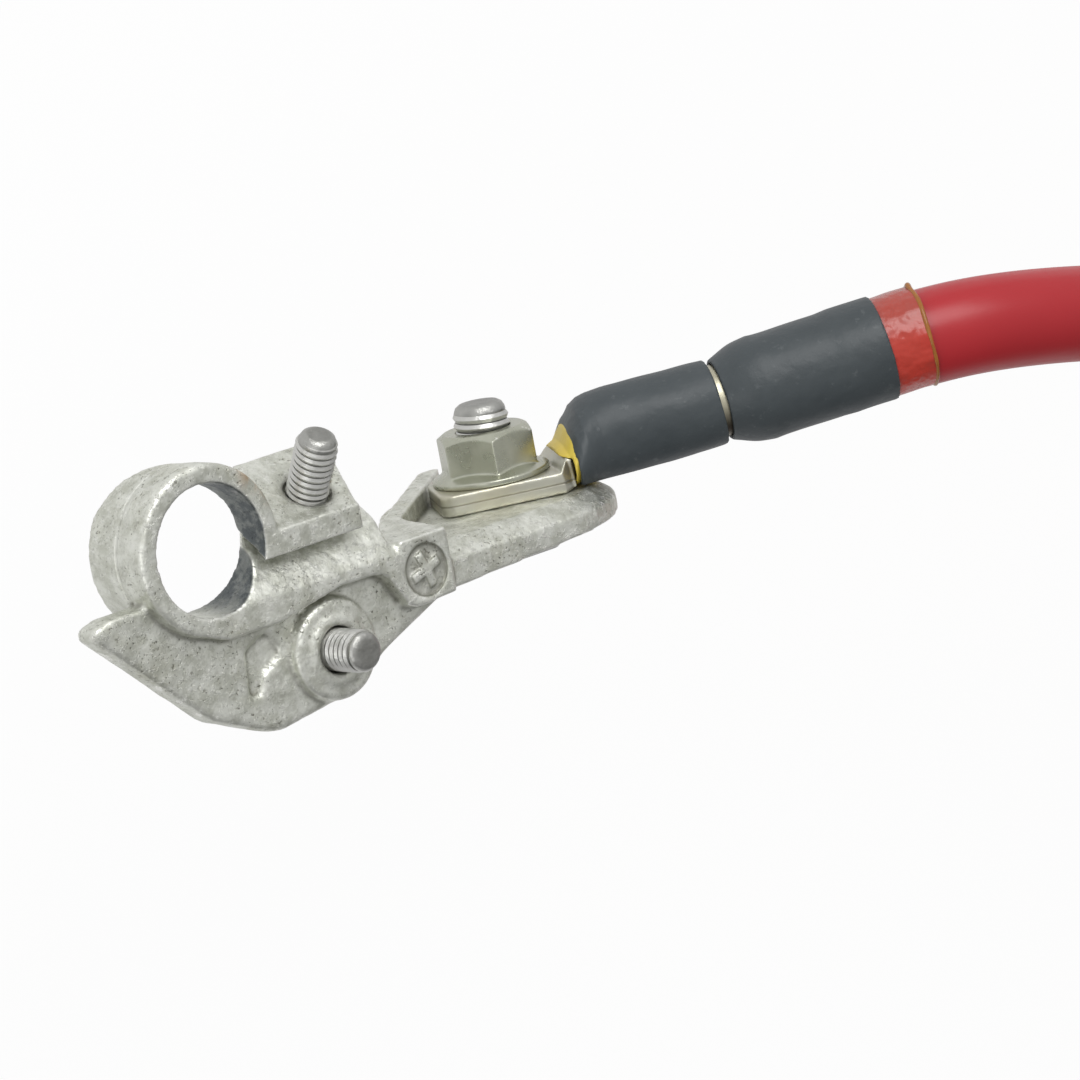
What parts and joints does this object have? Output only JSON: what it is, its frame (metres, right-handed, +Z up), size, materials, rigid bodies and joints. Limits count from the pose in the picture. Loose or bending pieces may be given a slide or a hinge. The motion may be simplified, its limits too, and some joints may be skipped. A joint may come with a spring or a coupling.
{
  "type": "battery cable terminal",
  "caption": "Cast battery post clamp with a split ring, clamp stud and side stud, and a bolted ring lug crimped to a short sleeved red cable.",
  "frame": {"origin": "on the post bore's axis, in the ring's lower face", "axes": "+Z up the post bore, out of the ring's front face; +X from the bore towards the cable lug"},
  "size_m": [0.2725, 0.1824, 0.068],
  "materials": {
    "casting": "tin-plated casting, dull grey, pitted and stained",
    "stud_steel": "dark worn steel thread",
    "zinc_steel": "bright zinc plate, slightly yellow",
    "lug_metal": "tinned copper, satin",
    "strands": "bare copper strands",
    "liner": "yellow plastic tube",
    "sleeve_black": "dark grey shrink sleeve",
    "seal_red": "glossy red shrink sleeve with amber glue",
    "cable_red": "smooth crimson cable jacket"
  },
  "bodies": {
    "root": {"clamp_body": "casting", "clamp_stud": "stud_steel", "side_stud": "stud_steel", "lug_bolt": "zinc_steel", "flange_nut": "zinc_steel", "ring_lug": "lug_metal", "conductor": "strands", "yellow_liner": "liner", "front_sleeve": "sleeve_black", "rear_sleeve": "sleeve_black", "seal_sleeve": "seal_red", "cable": "cable_red", "far_conductor": "strands", "far_lug": "lug_metal", "far_sleeve": "sleeve_black"}
  },
  "joints": []
}
